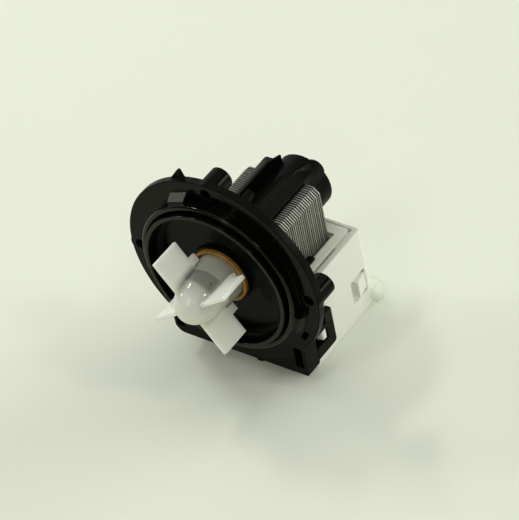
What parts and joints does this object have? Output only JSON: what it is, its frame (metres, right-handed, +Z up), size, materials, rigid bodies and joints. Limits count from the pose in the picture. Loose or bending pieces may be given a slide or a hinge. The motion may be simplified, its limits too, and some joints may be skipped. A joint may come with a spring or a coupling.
{
  "type": "washer drain pump",
  "caption": "Drain pump of a washing machine: flanged black rotor can with a bladed impeller in its cup, and a U-shaped laminated stator whose coils sit in a white cover.",
  "frame": {"origin": "on the pump's axis in the plane of the flange's front face, midway between the side screw holes", "axes": "+Y along the axis from the impeller towards the rear of the motor, +Z up, away from the coil cover, +X to the right seen from the impeller"},
  "size_m": [0.0808, 0.0858, 0.0889],
  "materials": {
    "black_plastic": "moulded, satin with glossy rings",
    "amber_seal": "smooth, slightly translucent amber",
    "dark_grey_plastic": "moulded",
    "black_rubber": "matt",
    "bush_bronze": "sintered, oil filled",
    "shaft_steel": "ground",
    "sleeve_plastic": "moulded",
    "ferrite": "matt, sintered",
    "grey_plastic": "moulded",
    "impeller_plastic": "translucent white, moulded",
    "core_steel": "stamped sheet edges, thin lacquer",
    "bobbin_plastic": "moulded",
    "winding_copper": "enamelled wire under resin",
    "cutout_resin": "dipped",
    "cover_plastic": "moulded, satin",
    "connector_plastic": "translucent, moulded",
    "tab_metal": "tinned"
  },
  "bodies": {
    "housing": {"flange_can": "black_plastic", "seal_ring": "amber_seal", "bearing_carrier": "dark_grey_plastic", "carrier_o_ring": "black_rubber", "front_bush": "bush_bronze", "rear_bush": "bush_bronze", "rear_cushion": "black_rubber", "stator_core": "core_steel", "bobbin": "bobbin_plastic", "winding_left": "winding_copper", "winding_right": "winding_copper", "thermal_cutout": "cutout_resin", "coil_cover": "cover_plastic", "connector_housing": "connector_plastic", "terminal_tabs": "tab_metal"},
    "rotor": {"rotor_shaft": "shaft_steel", "rotor_sleeve": "sleeve_plastic", "rotor_magnet": "ferrite", "thrust_washers": "sleeve_plastic", "drive_dog": "grey_plastic", "dog_pads": "black_rubber"},
    "impeller": {"impeller": "impeller_plastic", "clutch_cap": "impeller_plastic"}
  },
  "joints": [
    {"name": "rotor_spin", "type": "hinge", "parent": "housing", "child": "rotor", "pos_m": [0, 0, 0], "axis": [0, 1, 0], "continuous": true},
    {"name": "impeller_lost_motion", "type": "hinge", "parent": "rotor", "child": "impeller", "pos_m": [0, 0, 0], "axis": [0, 1, 0], "range_deg": [-116, 116]}
  ]
}
